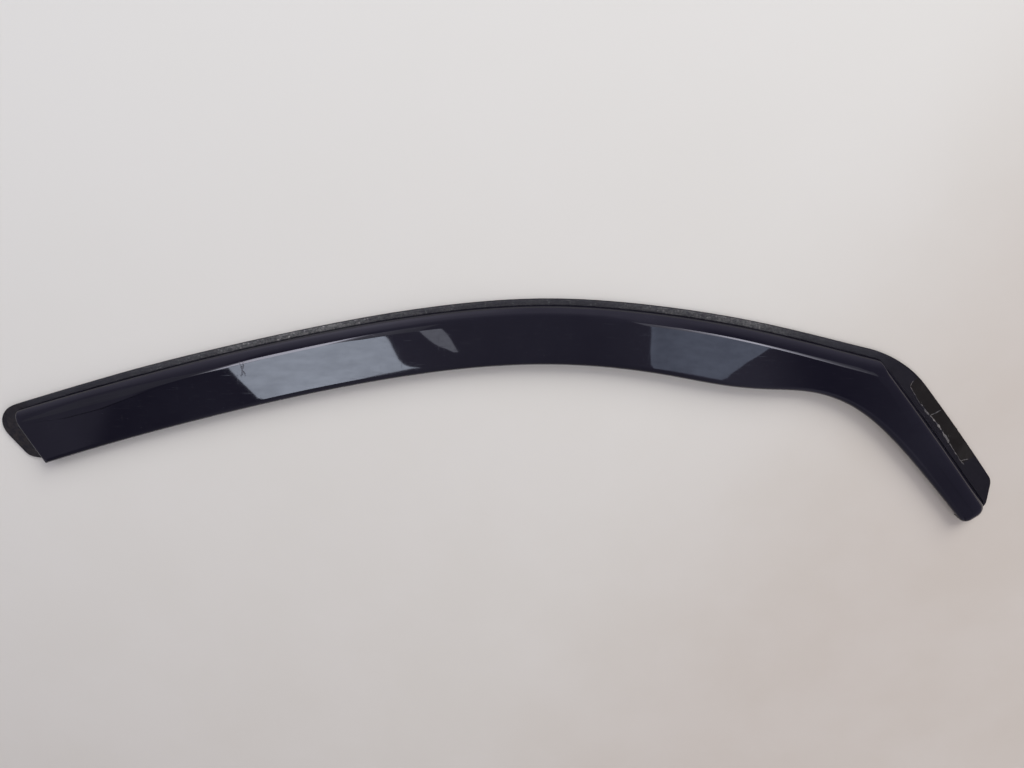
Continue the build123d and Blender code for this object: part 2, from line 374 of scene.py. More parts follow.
class SheetPlan:
    """Plan of the sheet: the groove, the hem, and what lies between them at each height."""

    def __init__(self, sizes):
        for name in changeable(sizes):
            setattr(self, name, getattr(sizes, name) / MM)
        self.shoulder_waist = sizes.shoulder_waist
        self.rear_dir = heading(REAR_HEADING)
        self.bend_dir = heading(BEND_HEADING)
        self.arm_dir = heading(ARM_HEADING)
        self.cut_dir = heading(CUT_HEADING)
        self.arch = Rail(smooth_curve([REAR_CORNER, *ARCH_KNOTS, BEND_CORNER], self.rear_dir, self.bend_dir))
        self.arm = Rail(tangent_arc(BEND_CORNER, FRONT_CORNER, self.arm_dir))
        self.arm_end = self.arm.direction(self.arm.length)
        self.end_dir = inward(self.arm_end)
        self.hem_rear = REAR_CORNER + self.cut_dir * self.visor_depth
        self.hem_front = FRONT_CORNER + self.end_dir * self.arm_depth
        self.hem = Rail(smooth_curve([self.hem_rear, *HEM_KNOTS, *SWEEP_KNOTS, self.hem_front]))
        self.hem_rear_dir = self.hem.direction(0)
        self.hem_front_dir = self.hem.direction(self.hem.length)
        mitre = inward(unit(self.bend_dir + self.arm_dir))
        offset = self.hem.points - BEND_CORNER
        beside = np.abs(offset[:, 0] * mitre[1] - offset[:, 1] * mitre[0])
        self.hem_mitre = self.hem.run[beside.argmin()]

    def crown(self, plan, crest):
        """Height of the crowned face over points in plan."""
        off = np.linalg.norm(plan - ARCH_CENTRE, axis=-1) - self.crest_radius
        return crest - self.crown_radius + np.sqrt(self.crown_radius**2 - off**2)

    def outline(self, arch_in, arch_waist, arm_in, front_in, hem_in, rear_in, ease, soften):
        """Closed outline of the visor, each side moved inwards by its own amount."""
        rear = REAR_CORNER + self.cut_dir * arch_in + self.rear_dir * rear_in
        bend = crossing(BEND_CORNER, self.bend_dir, arch_in, self.arm_dir, arm_in)
        front = FRONT_CORNER + self.end_dir * arm_in - self.arm_end * front_in
        tip = self.hem_front - self.end_dir * hem_in - self.arm_end * front_in
        tail = self.hem_rear - self.cut_dir * hem_in + self.hem_rear_dir * rear_in
        end_reach = min(self.front_reach * ease, END_SHARE * np.linalg.norm(tip - front))
        rear_reach = self.rear_reach * ease
        bend_reach = self.bend_reach * ease + soften
        rear_arc = corner_arc(rear, -self.cut_dir, self.rear_dir, rear_reach, REAR)
        bend_arc = corner_arc(bend, self.bend_dir, self.arm_dir, bend_reach, BEND)
        front_arc = corner_arc(front, self.arm_end, self.end_dir, end_reach, FRONT)
        tip_arc = corner_arc(tip, self.end_dir, -self.hem_front_dir, end_reach, TIP)

        first = (rear - REAR_CORNER) @ self.rear_dir + rear_reach
        last = self.arch.length + (bend - BEND_CORNER) @ self.bend_dir - bend_reach
        over_run = np.linspace(first, last, OVER + 1)
        place = over_run / self.arch.length
        over = self.arch.beside(over_run, arch_in - 4 * arch_waist * place * (1 - place))
        closing = 1 - (1 - np.linspace(0, 1, DOWN + 1)) ** CROWDING
        first = (bend - BEND_CORNER) @ self.arm_dir + bend_reach
        last = self.arm.length - front_in - end_reach
        down = self.arm.beside(first + (last - first) * closing, arm_in)
        first = (tail - self.hem_rear) @ self.hem_rear_dir
        last = self.hem.length + (tip_arc[-1] - self.hem_front) @ self.hem_front_dir
        fan = self.visor_depth * BEND_FAN * np.linspace(-0.5, 0.5, BEND + 1)
        rearward = np.linspace(first, self.hem_mitre + fan[0], OVER + 1)
        forward = self.hem_mitre + fan[-1] + (last - self.hem_mitre - fan[-1]) * closing
        hem_run = np.concatenate([rearward, self.hem_mitre + fan[1:-1], forward])
        back = self.hem.beside(hem_run, -hem_in)
        back[0] = tail
        back[-1] = tip_arc[-1]
        over[0], over[-1] = rear_arc[-1], bend_arc[0]
        down[0], down[-1] = bend_arc[-1], front_arc[0]
        cut = np.linspace(tail, rear_arc[0], CUT + 1)
        end = np.linspace(front_arc[-1], tip_arc[0], END + 1)
        sides = [cut, rear_arc, over, bend_arc, down, front_arc, end, tip_arc, back[::-1]]
        return np.concatenate([side[:-1] for side in sides])

    def brim_widths(self):
        """Rounding of the gloss face's edge round the outline: crisp at the hem, soft at the arm."""
        bend = ROOF_START + OVER + BEND / 2
        steps = [0, CUT, *[ROOF_START + step for step, share in ROOF_BRIM], bend, ROOF_END, WALL_END, RING]
        roof = [self.brim_soft * share for step, share in ROOF_BRIM]
        arm_and_hem = [self.brim_soft, self.brim_soft, self.brim_round, self.brim_round]
        return np.interp(np.arange(RING), steps, [self.brim_cut, self.brim_cut, *roof, *arm_and_hem])

    def shell(self, inset, crest, rounded=False):
        """Rows of points up the visor's sides, and the grid of its crowned face."""
        top = crest + CREST_ROOM
        hem_start = self.lip + LIP_EDGE
        turn = np.radians(np.arange(ROLL_STEPS + 1.0))
        levels = self.wall + (top - self.wall) * np.sin(turn)

        def roll(level, start, width):
            rise = max(0, level - start) / (top - start)
            return width * (1 - math.sqrt(max(0, 1 - rise * rise)))

        rings = np.array([
            self.outline(
                inset + roll(level, self.wall, self.shoulder_roll - inset),
                self.shoulder_waist * roll(level, self.wall, self.shoulder_roll - inset),
                inset + roll(level, self.wall, self.arm_roll - inset),
                inset + roll(level, self.wall, self.front_roll - inset),
                inset + roll(level, hem_start, self.hem_roll - inset),
                inset + roll(level, self.wall, self.rear_roll),
                1 - ROLL_SHARPENS * roll(level, self.wall, 1) - INSET_SHARPENS * inset,
                roll(level, self.wall, self.bend_soften),
            )
            for level in levels
        ])
        above = levels[:, None] - self.crown(rings, crest)
        k = np.argmax(above > 0, axis=0)
        column = np.arange(RING)
        share = above[k - 1, column] / (above[k - 1, column] - above[k, column])
        brim = levels[k - 1] + share * (levels[k] - levels[k - 1])

        foot = [0, self.edge / 2, self.sheet, (self.sheet + self.wall) / 2, self.wall]
        below_lip = self.wall + (self.lip - self.wall) * BELOW_LIP
        base = np.minimum(hem_start, brim - BRIM_ROOM)
        width = self.brim_widths() if rounded else np.zeros(RING)
        drop = width * np.interp(column, *BRIM_DROP)
        low = brim - np.minimum(drop, BRIM_SHARE * (brim - base))
        heights = [np.minimum(level, base) for level in (*foot, *below_lip, self.lip, hem_start)]
        heights += [base + (low - base) * share for share in ABOVE_LIP] + [brim]
        heights = np.array(heights)
        place = np.degrees(np.arcsin(np.clip((heights - self.wall) / (top - self.wall), 0, 1)))
        lower = np.clip(place.astype(int), 0, ROLL_STEPS - 1)
        part = (place - lower)[..., None]
        plan = rings[lower, column] * (1 - part) + rings[lower + 1, column] * part
        sides = np.concatenate([plan, heights[..., None]], axis=-1)
        if not rounded:
            return sides[:-1], self.face(sides[-1, :, :2], crest)
        edge = sides[-1]
        slope = np.roll(edge, -1, axis=0)[:, :2] - np.roll(edge, 1, axis=0)[:, :2]
        slope /= np.linalg.norm(slope, axis=-1, keepdims=True)
        inside = edge[:, :2] + inward(slope) * width[:, None]
        inside = np.concatenate([inside, self.crown(inside, crest)[:, None]], axis=-1)
        turns = [
            (1 - t) ** 2 * sides[-2] + 2 * t * (1 - t) * edge + t**2 * inside
            for t in BRIM_TURNS
        ]
        sides = np.concatenate([sides[:-1], turns])
        return sides, self.face(sides[-1, :, :2], crest)

    def face(self, brim, crest):
        """Grid over the crowned face, between the shoulder, the hem and the two ends."""
        closed = np.concatenate([brim, brim[:1]])
        shoulder = closed[ROOF_START : ROOF_END + 1]
        front = closed[ROOF_END : WALL_END + 1]
        hem = closed[WALL_END : RING + 1][::-1]
        rear = closed[: ROOF_START + 1][::-1]
        u = np.linspace(0, 1, HEM_STEPS + 1)[None, :, None]
        v = np.linspace(0, 1, ROOF_START + 1)[:, None, None]
        grid = (1 - v) * shoulder[None] + v * hem[None] + (1 - u) * rear[:, None] + u * front[:, None]
        grid -= (1 - u) * (1 - v) * shoulder[0] + u * (1 - v) * shoulder[-1]
        grid -= (1 - u) * v * hem[0] + u * v * hem[-1]
        return np.concatenate([grid, self.crown(grid, crest)[..., None]], axis=-1)

    def flange_edge(self, base):
        """Outer edge of the flange, and the step of the visor's outline where it ends."""
        flange_rear = REAR_CORNER - self.cut_dir * self.flange_rear
        heel = flange_rear - self.rear_dir * self.rear_tongue
        toe = self.hem_rear - self.cut_dir * self.rear_tongue_rise
        toe = toe - inward(-self.cut_dir) * self.rear_tongue_foot
        side_dir = unit(toe - heel)
        foot_dir = unit(self.hem_rear - toe)
        bend = crossing(BEND_CORNER, self.bend_dir, -self.flange_bend, self.arm_dir, -self.front_tongue)
        tip_dir = unit(TONGUE_FOOT - TONGUE_CORNER)
        tuck = self.hem_front - self.arm_end * TUCK_BACK - self.end_dir * TUCK_IN
        tuck_dir = unit(tuck - TONGUE_FOOT)
        toe_arc = corner_arc(toe, -foot_dir, -side_dir, self.tongue_reach, 20)
        heel_arc = corner_arc(heel, -side_dir, self.rear_dir, self.rear_tongue_reach, 40)
        bend_arc = corner_arc(bend, self.bend_dir, self.arm_dir, self.flange_bend_reach, 60)
        tongue_arc = corner_arc(TONGUE_CORNER, self.arm_end, tip_dir, self.tongue_reach, 20)
        foot_arc = corner_arc(TONGUE_FOOT, tip_dir, tuck_dir, self.tongue_reach, 20)
        tongue_edge = smooth_curve([bend_arc[-1], tongue_arc[0]], self.arm_dir, self.arm_end, 200)
        first = (heel_arc[-1] - REAR_CORNER) @ self.rear_dir
        last = self.arch.length + (bend_arc[0] - BEND_CORNER) @ self.bend_dir
        share = np.linspace(0, 1, 400)
        run = first + (last - first) * share
        place = run / self.arch.length
        gap = self.flange_rear + (self.flange_bend - self.flange_rear) * place
        gap -= 4 * self.flange_waist * place * (1 - place)
        gap += self.flange_swell * np.exp(-(((place - SWELL_PLACE) / SWELL_SPREAD) ** 2))
        roof_edge = self.arch.beside(run, -gap)
        ends = base[ROOF_END:WALL_END]
        beyond = np.abs((ends - foot_arc[-1]) @ inward(tuck_dir))
        stop = int(ROOF_END + beyond.argmin())
        to_heel = [[self.hem_rear], toe_arc, heel_arc]
        to_tongue = [*to_heel, roof_edge, bend_arc, tongue_edge]
        edge = Rail(np.concatenate([*to_tongue, tongue_arc, foot_arc, [base[stop]]]))
        heel_end, roof_end, bend_end, tongue_end = (
            Rail(np.concatenate(to_tongue[:count])).length for count in range(3, 7)
        )
        past_heel = heel_end + 1.5 * self.rear_reach
        steps = [0, ROOF_START, ROOF_START + OVER + BEND / 2, ROOF_END - 0.3 * DOWN, stop]
        places = [0, past_heel, (roof_end + bend_end) / 2, tongue_end, edge.length]
        return edge.at(np.interp(np.arange(stop + 1), steps, places)), stop


def placed(name, data):
    """New object in the scene."""
    held = bpy.data.objects.new(name, data)
    bpy.context.scene.collection.objects.link(held)
    return held


class Blocks:
    """Points and faces of a piece, gathered block by block and welded at the end."""

    def __init__(self):
        self.points = []
        self.faces = []
        self.finish = []
        self.count = 0

    def grid(self, rows, finish):
        """Quads over a grid of points."""
        rows = np.array(rows)
        height, width = rows.shape[:2]
        index = np.arange(height * width).reshape(height, width) + self.count
        corners = [index[:-1, :-1], index[:-1, 1:], index[1:, 1:], index[1:, :-1]]
        quads = np.stack(corners, axis=-1).reshape(-1, 4)
        self.points.append(rows.reshape(-1, 3))
        self.faces.append(quads)
        self.finish.append(np.full(len(quads), finish))
        self.count += height * width

    def piece(self, name, shift, materials, sharp=50):
        """One welded mesh object from the blocks."""
        points = (np.concatenate(self.points) + shift) * MM
        mesh = bpy.data.meshes.new(name)
        mesh.from_pydata(points.tolist(), [], np.concatenate(self.faces).tolist())
        mesh.polygons.foreach_set("material_index", np.concatenate(self.finish).astype(np.int32))
        work = bmesh.new()
        work.from_mesh(mesh)
        bmesh.ops.remove_doubles(work, verts=work.verts, dist=WELD * MM)
        bmesh.ops.dissolve_degenerate(work, dist=WELD * MM, edges=work.edges)
        bmesh.ops.recalc_face_normals(work, faces=work.faces)
        open_edges = sum(not edge.is_manifold for edge in work.edges)
        work.to_mesh(mesh)
        work.free()
        if open_edges:
            raise RuntimeError(f"{name} has {open_edges} open edges")
        for polygon in mesh.polygons:
            polygon.use_smooth = True
        mesh.set_sharp_from_angle(angle=math.radians(sharp))
        for material in materials:
            mesh.materials.append(material)
        return placed(name, mesh)


class Nodes:
    """A node tree, with short calls for the nodes that finishes and lights use."""

    def __init__(self, tree, coordinates):
        self.tree = tree
        self.place = tree.nodes.new("ShaderNodeTexCoord").outputs[coordinates]

    def link(self, source, target):
        self.tree.links.new(source, target)

    def node(self, kind, **values):
        """New node with some of its inputs set."""
        made = self.tree.nodes.new("ShaderNode" + kind)
        for name, value in values.items():
            made.inputs[name].default_value = value
        return made

    def stretched(self, scale, turn=0.0):
        node = self.node("Mapping", Scale=scale, Rotation=(0, 0, math.radians(turn)))
        self.link(self.place, node.inputs["Vector"])
        return node.outputs["Vector"]

    def noise(self, scale, detail=3.0, rough=0.55, vector=None):
        node = self.node("TexNoise", Scale=scale, Detail=detail, Roughness=rough)
        self.link(vector or self.place, node.inputs["Vector"])
        return node.outputs["Fac"]

    def specks(self, scale, size, vector=None):
        """Small round flecks, one in some of the cells."""
        node = self.node("TexVoronoi", Scale=scale)
        self.link(vector or self.place, node.inputs["Vector"])
        return self.ramp(node.outputs["Distance"], size, size * 0.5)

    def ramp(self, value, low, high, out_low=0.0, out_high=1.0, shape="SMOOTHSTEP"):
        node = self.node("MapRange")
        node.interpolation_type = shape
        for name, number in zip(("From Min", "From Max", "To Min", "To Max"), (low, high, out_low, out_high)):
            node.inputs[name].default_value = number
        self.link(value, node.inputs["Value"])
        return node.outputs["Result"]

    def ramp_even(self, value, low, high):
        """Straight ramp from 0 to 1."""
        return self.ramp(value, low, high, shape="LINEAR")

    def math(self, operation, first, second):
        node = self.node("Math")
        node.operation = operation
        for socket, value in zip(node.inputs, (first, second)):
            if isinstance(value, (int, float)):
                socket.default_value = value
            else:
                self.link(value, socket)
        return node.outputs["Value"]

    def times(self, first, second):
        return self.math("MULTIPLY", first, second)

    def plus(self, first, second):
        return self.math("ADD", first, second)

    def minus(self, first, second):
        return self.math("SUBTRACT", first, second)

    def most(self, first, second):
        return self.math("MAXIMUM", first, second)

    def mix(self, share, first, second):
        """Blend of two colours, each a fixed one or a socket."""
        node = self.node("Mix")
        node.data_type = "RGBA"
        self.link(share, node.inputs["Factor"])
        ends = [socket for socket in node.inputs if socket.type == "RGBA"]
        for socket, value in zip(ends, (first, second)):
            if hasattr(value, "links"):
                self.link(value, socket)
            else:
                socket.default_value = (*value, 1)
        return next(out for out in node.outputs if out.type == "RGBA")

    def axis(self, name):
        node = self.node("SeparateXYZ")
        self.link(self.place, node.inputs["Vector"])
        return node.outputs[name]

    def levels(self, value, stops):
        """Grey that follows a row of places from 0 to 1, each with its level."""
        node = self.node("ValToRGB")
        node.color_ramp.interpolation = "EASE"
        while len(node.color_ramp.elements) < len(stops):
            node.color_ramp.elements.new(1.0)
        for element, (place, level) in zip(node.color_ramp.elements, stops):
            element.position = place
            element.color = (level, level, level, 1)
        self.link(value, node.inputs["Fac"])
        return node.outputs["Color"]

    def near(self, spot, inner, outer):
        """Soft round patch about a place in plan, in millimetres."""
        node = self.node("VectorMath")
        node.operation = "DISTANCE"
        node.inputs[1].default_value = [part * MM for part in spot]
        self.link(self.place, node.inputs[0])
        return self.ramp(node.outputs["Value"], outer * MM, inner * MM)


class Surface(Nodes):
    """Finish of a piece."""

    def __init__(self, name):
        self.material = bpy.data.materials.new(name)
        self.material.use_nodes = True
        super().__init__(self.material.node_tree, "Object")
        self.shader = self.tree.nodes["Principled BSDF"]

    def feed(self, name, source):
        """Link a shader's input."""
        self.link(source, self.shader.inputs[name])

    def fix(self, name, value):
        """Set a shader's input that is the same all over."""
        self.shader.inputs[name].default_value = value

    def bump(self, height, depth, strength):
        node = self.node("Bump", Distance=depth, Strength=strength)
        self.link(height, node.inputs["Height"])
        self.feed("Normal", node.outputs["Normal"])


# Refractive index of acrylic
ACRYLIC_IOR = 1.49

# Where the gloss is nicked, in millimetres from the middle of the part, from where to where the nick
# fades, and how its two cracks lean
NICK = (-232.2, 47.9, 12.5)
NICK_REACH = (4.0, 8.5)
NICK_LEANS = (0.37, -0.22)

# How far from its line a crack is gone and how far it is whole, and how far it wavers, in metres
CRACK_FADE = (0.0010, 0.0002)
CRACK_WAVER = 0.0006


def crack(s, slope):
    """Thin wavering line through the nick, mostly across the sheet."""
    waver = s.ramp(s.noise(260.0, 2.0), 0.3, 0.7, -CRACK_WAVER, CRACK_WAVER)
    lean = s.plus(s.axis("X"), s.times(s.axis("Y"), slope))
    off = s.plus(s.minus(lean, (NICK[0] + slope * NICK[1]) * MM), waver)
    return s.ramp(s.math("ABSOLUTE", off, 0.0), *CRACK_FADE)


def gloss_acrylic(finish):
    """Smoked acrylic with a worn gloss: faint haze, hairlines along the sheet, and dust."""
    s = Surface("smoked_acrylic_gloss")
    haze = s.ramp(s.noise(9.0, 4.0, 0.6), 0.38, 0.72)
    hair = s.ramp(s.noise(60.0, 2.0, 0.5, s.stretched((0.9, 26.0, 26.0), 11.0)), 0.655, 0.73)
    cross = s.ramp(s.noise(55.0, 2.0, 0.5, s.stretched((24.0, 1.1, 24.0), -24.0)), 0.68, 0.75)
    hairlines = s.most(hair, cross)
    cracks = s.most(*[crack(s, lean) for lean in NICK_LEANS])
    nick = s.times(s.near(NICK, *NICK_REACH), cracks)
    hairlines = s.most(hairlines, nick)
    dust = s.times(s.specks(420.0, 0.10), s.ramp(s.noise(14.0, 2.0), 0.5, 0.7))
    tone = s.mix(haze, finish.acrylic, finish.bloom)
    tone = s.mix(s.times(hairlines, 0.03), tone, finish.scuff)
    tone = s.mix(s.times(dust, 0.2), tone, finish.adhesive)
    s.feed("Base Color", tone)
    worn = s.plus(s.times(haze, 0.012), s.times(hairlines, 0.11))
    worn = s.plus(worn, s.times(nick, 0.2))
    worn = s.plus(worn, s.times(dust, 0.3))
    s.feed("Roughness", s.plus(worn, 0.02))
    s.fix("IOR", ACRYLIC_IOR)
    s.bump(s.noise(38.0, 2.0, 0.4), 0.00003, 0.25)
    return s.material


# Stretch of the flange in X, in metres, and how pale it is rubbed at shares of that stretch
FLANGE_RUN = (-0.45, 0.45)
FLANGE_RUBBING = [
    (0.08, 0.01), (0.20, 0.17), (0.25, 0.43), (0.315, 0.76), (0.385, 0.19), (0.50, 0.10), (0.60, 0.09),
    (0.66, 0.28), (0.725, 0.29), (0.745, 0.42), (0.80, 0.06), (0.85, 0.0),
]

# Where the tongues begin in X, where dirt thickens in Y on the rear one, and where the flange's edge
# turns down in Z and is painted dark as shade, in metres
REAR_TONGUE_FADE = (-0.425, -0.45)
FRONT_TONGUE_FADE = (0.325, 0.352)
DIRT_FADE = (0.004, -0.026)
EDGE_SHADE_FADE = (0.00292, 0.0026)


def matte_flange(finish):
    """Matte moulded edge, rubbed pale where it was pushed into the channel, darker on the tongues, with
    painted shade on its rounded outer edge.
    """
    s = Surface("smoked_acrylic_matte")
    x = s.axis("X")
    rubbed = s.levels(s.ramp_even(x, *FLANGE_RUN), FLANGE_RUBBING)
    streaks = s.ramp(s.noise(150.0, 4.0, 0.7, s.stretched((0.6, 1.0, 1.0), 8.0)), 0.3, 0.7, 0.55, 1.45)
    grain = s.ramp(s.noise(520.0, 3.0, 0.7), 0.32, 0.68, 0.2, 1.8)
    pale = s.times(s.times(streaks, grain), rubbed)
    tone = s.mix(pale, finish.flange, finish.scuff)
    chips = s.times(s.specks(300.0, 0.32), s.ramp(s.noise(70.0, 2.0), 0.42, 0.58))
    tone = s.mix(s.times(chips, s.times(rubbed, 0.8)), tone, finish.fleck)
    rear = s.ramp(x, *REAR_TONGUE_FADE)
    front = s.ramp(x, *FRONT_TONGUE_FADE)
    tone = s.mix(s.most(rear, front), tone, finish.tongue)
    dirt = s.times(rear, s.ramp(s.noise(210.0, 6.0, 0.75), 0.40, 0.60))
    dirt = s.times(dirt, s.ramp(s.axis("Y"), *DIRT_FADE, 0.35, 1.0))
    tone = s.mix(dirt, tone, finish.rust)
    # Painted shade: the flange's rounded outer edge is darkened to the gloss acrylic's tone
    rim = s.ramp(s.axis("Z"), *EDGE_SHADE_FADE)
    tone = s.mix(rim, tone, finish.acrylic)
    s.feed("Base Color", tone)
    s.feed("Roughness", s.ramp(s.noise(120.0, 3.0), 0.3, 0.7, 0.45, 0.62))
    s.fix("IOR", ACRYLIC_IOR)
    s.fix("Specular IOR Level", 0.25)
    s.bump(s.noise(900.0, 2.0), 0.00006, 0.5)
    return s.material


def plain_underside(finish):
    """Back of the sheet: satin from the mould, with faint flow marks."""
    s = Surface("smoked_acrylic_back")
    flow = s.ramp(s.noise(24.0, 3.0, 0.5, s.stretched((0.25, 1.0, 1.0))), 0.35, 0.75)
    s.feed("Base Color", s.mix(flow, finish.underside, finish.bloom))
    s.feed("Roughness", s.ramp(flow, 0.0, 1.0, 0.26, 0.38))
    s.fix("IOR", ACRYLIC_IOR)
    return s.material


def tape_film(finish):
    """Thin brown black film with light crumbs in it."""
    s = Surface("tape_film")
    mottle = s.ramp(s.noise(110.0, 5.0, 0.65), 0.4, 0.7)
    crumbs = s.times(s.specks(520.0, 0.24), s.ramp(s.noise(70.0, 3.0), 0.5, 0.66))
    streaks = s.ramp(s.noise(60.0, 3.0, 0.6, s.stretched((1.0, 0.3, 1.0), 40.0)), 0.52, 0.68)
    tone = s.mix(s.times(mottle, 0.03), finish.film, finish.scuff)
    tone = s.mix(s.times(streaks, 0.035), tone, finish.adhesive)
    tone = s.mix(s.times(crumbs, 0.3), tone, finish.adhesive)
    s.feed("Base Color", tone)
    s.feed("Roughness", s.ramp(mottle, 0.0, 1.0, 0.45, 0.7))
    s.fix("Specular IOR Level", 0.2)
    s.bump(s.noise(300.0, 4.0), 0.0001, 0.6)
    return s.material


def old_adhesive(finish):
    """Pale strings of adhesive, grey where they are thin."""
    s = Surface("old_adhesive")
    thin = s.ramp(s.noise(160.0, 4.0, 0.6), 0.35, 0.65)
    s.feed("Base Color", s.mix(thin, finish.flange, finish.adhesive))
    s.feed("Roughness", s.ramp(thin, 0.0, 1.0, 0.5, 0.8))
    s.bump(s.noise(700.0, 3.0), 0.00012, 0.7)
    return s.material


def drawing_shift(plan_points):
    """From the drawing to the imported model: the middle of the sheet's box in plan."""
    low, high = np.array(CAD_BOX[0]) / MM, np.array(CAD_BOX[1]) / MM
    middle = (plan_points.min(axis=0) + plan_points.max(axis=0)) / 2
    return np.array([*((low + high)[:2] / 2 - middle), low[2]])


def at_height(points, height):
    """Points in plan, lifted to one height or a height each."""
    return np.concatenate([points, np.broadcast_to(height, (len(points), 1))], axis=-1)


def flange_rows(plan, groove, edge):
    """Rows of points across the flange: down into the groove, over the top and round the edge."""
    step = np.arange(len(groove))
    last = step[-1]
    opening = np.clip((step - ROOF_START - GROOVE_START) / GROOVE_OPENS, 0, 1)
    opening *= np.clip((last - step) / GROOVE_CLOSES, 0, 1)
    from_pinch = ((step - ROOF_START) / OVER - PINCH_PLACE) / PINCH_SPREAD
    opening *= 1 - GROOVE_PINCH * np.exp(-(from_pinch**2))
    down_arm = np.clip((step - ROOF_START - OVER - BEND / 2) / DOWN, 0, 1)
    groove_width = (plan.groove_arch + (plan.groove_arm - plan.groove_arch) * down_arm) * opening
    groove_width = groove_width[:, None]
    groove_floor = plan.sheet - plan.groove_depth * opening[:, None]
    width = np.linalg.norm(edge - groove, axis=-1, keepdims=True)
    out = (edge - groove) / np.maximum(width, 1e-9)
    round_off = np.minimum(plan.edge, EDGE_SHARE * width)
    soft = 1 - math.sqrt(0.5)
    top = width - round_off - groove_width
    across = [groove + out * (groove_width + top * part) for part in FLANGE_ACROSS]
    return [
        at_height(groove, plan.sheet),
        at_height(groove, groove_floor),
        at_height(groove + out * groove_width * GROOVE_FLAT, groove_floor),
        *[at_height(row, plan.sheet) for row in across],
        at_height(edge - out * round_off * soft, plan.sheet - round_off * soft),
        at_height(edge, plan.sheet - round_off),
        at_height(edge, plan.edge / 2),
        at_height(edge - out * round_off / 2, 0.0),
    ]


class DEFLECTOR_OT_sheet(Operator):
    """Mould the sheet: visor, flange, tongues and plain back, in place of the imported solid"""

    bl_idname = "deflector.sheet"
    bl_label = "Moulded sheet"

    def execute(self, context):
        plan = SheetPlan(context.scene.deflector_sizes)
        finish = context.scene.deflector_finish
        shell, face = plan.shell(0, plan.crest, True)
        hollow, ceiling = plan.shell(plan.sheet, plan.crest - plan.sheet)
        edge, stop = plan.flange_edge(shell[0, :, :2])
        outer = np.concatenate([shell, shell[:, :1]], axis=1)
        inner = np.concatenate([hollow, hollow[:, :1]], axis=1)

        hem_wall = outer[LIP_ROW:, WALL_END:].copy()
        lip = inner[LIP_ROW, WALL_END:]
        across = lip[:, :2] - hem_wall[0, :, :2]
        across /= np.linalg.norm(across, axis=-1, keepdims=True)
        step = np.arange(HEM_STEPS + 1)
        taper = np.minimum(1, np.minimum(step, step[::-1]) / HEM_TAPER)
        hem_wall[0, :, :2] += across * (HEM_BEVEL * taper)[:, None]
        flange = flange_rows(plan, outer[FLANGE_ROW, : stop + 1, :2], edge)

        sheet = Blocks()
        gloss, matte, back = range(3)
        sheet.grid(outer[FLANGE_ROW:, : stop + 1], gloss)
        sheet.grid(outer[:, stop : WALL_END + 1], gloss)
        sheet.grid(hem_wall, gloss)
        sheet.grid(face, gloss)
        sheet.grid(inner[:, : WALL_END + 1], back)
        sheet.grid(inner[LIP_ROW:, WALL_END:], back)
        sheet.grid(ceiling, back)
        sheet.grid([hem_wall[0], lip], back)
        for corner in (0, WALL_END):
            ends = np.stack([outer[: LIP_ROW + 1, corner], inner[: LIP_ROW + 1, corner]], axis=1)
            sheet.grid(ends, gloss)
        sheet.grid([outer[0, stop : WALL_END + 1], inner[0, stop : WALL_END + 1]], back)
        sheet.grid(flange, matte)
        sheet.grid([flange[-1], inner[0, : stop + 1]], back)

        shift = drawing_shift(np.concatenate([edge, shell[0, :, :2]]))
        context.scene["deflector_shift"] = shift.tolist()
        materials = [gloss_acrylic(finish), matte_flange(finish), plain_underside(finish)]
        piece = sheet.piece("moulded_sheet", shift, materials)
        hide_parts("deflector")
        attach(piece, "root")
        return {"FINISHED"}


# Strings of old adhesive on the front tongue: places along the arm from the bend and outwards
# from it, in millimetres, then the string's width
ADHESIVE_STRINGS = [
    ([(36.8, 13.6), (38.0, 10.7), (40.1, 7.8)], 0.7),
    ([(40.0, 8.0), (50.0, 7.1), (60.3, 6.4)], 0.6),
    ([(61.0, 6.6), (68.0, 6.7), (76.5, 7.0)], 1.2),
    ([(77.4, 7.3), (84.0, 7.9), (90.8, 8.4), (97.0, 8.3)], 1.4),
    ([(98.6, 8.2), (106.4, 8.0), (113.0, 7.6)], 1.4),
    ([(113.4, 7.6), (122.5, 7.0), (131.0, 6.7), (138.4, 6.6), (142.1, 7.3)], 0.7),
    ([(77.1, 7.0), (77.6, 12.0), (78.5, 18.2)], 0.7),
    ([(136.3, 6.6), (137.4, 9.4), (139.7, 13.2)], 0.6),
]
FILM_INNER = [(38.0, 8.5), (60.0, 7.0), (90.8, 8.8), (106.4, 8.4), (122.5, 7.3), (139.0, 7.0)]
FILM_OUTER = [(37.0, 17.6), (55.0, 18.9), (81.0, 19.7), (102.0, 20.2), (129.0, 19.2), (141.0, 18.8)]

# Mesh of the film, and its heights over the flange in millimetres: sunk edge, thin border and middle
FILM_STEPS, FILM_ROWS = 90, 9
FILM_SUNK, FILM_BORDER, FILM_TOP = -0.02, 0.03, 0.05

# How ragged the film's inner side, outer side and ends are, in millimetres
INNER_RAGGED, OUTER_RAGGED, ENDS_RAGGED = 0.5, 0.4, 0.5

# Height and least half width of a string in millimetres, its steps in each millimetre and at least,
# how much its width, course and height vary, and its section in shares of half width and height
STRING_HEIGHT, STRING_LEAST = 0.22, 0.25
STRING_STEPS, FEWEST_STEPS = 1.6, 12
WIDTH_VARIES, COURSE_VARIES, HEIGHT_VARIES = 0.8, 0.35, 0.9
STRING_SECTION = [(-1, 0), (-0.7, 0.6), (0, 1), (0.7, 0.6), (1, 0), (0, -0.1), (-1, 0)]


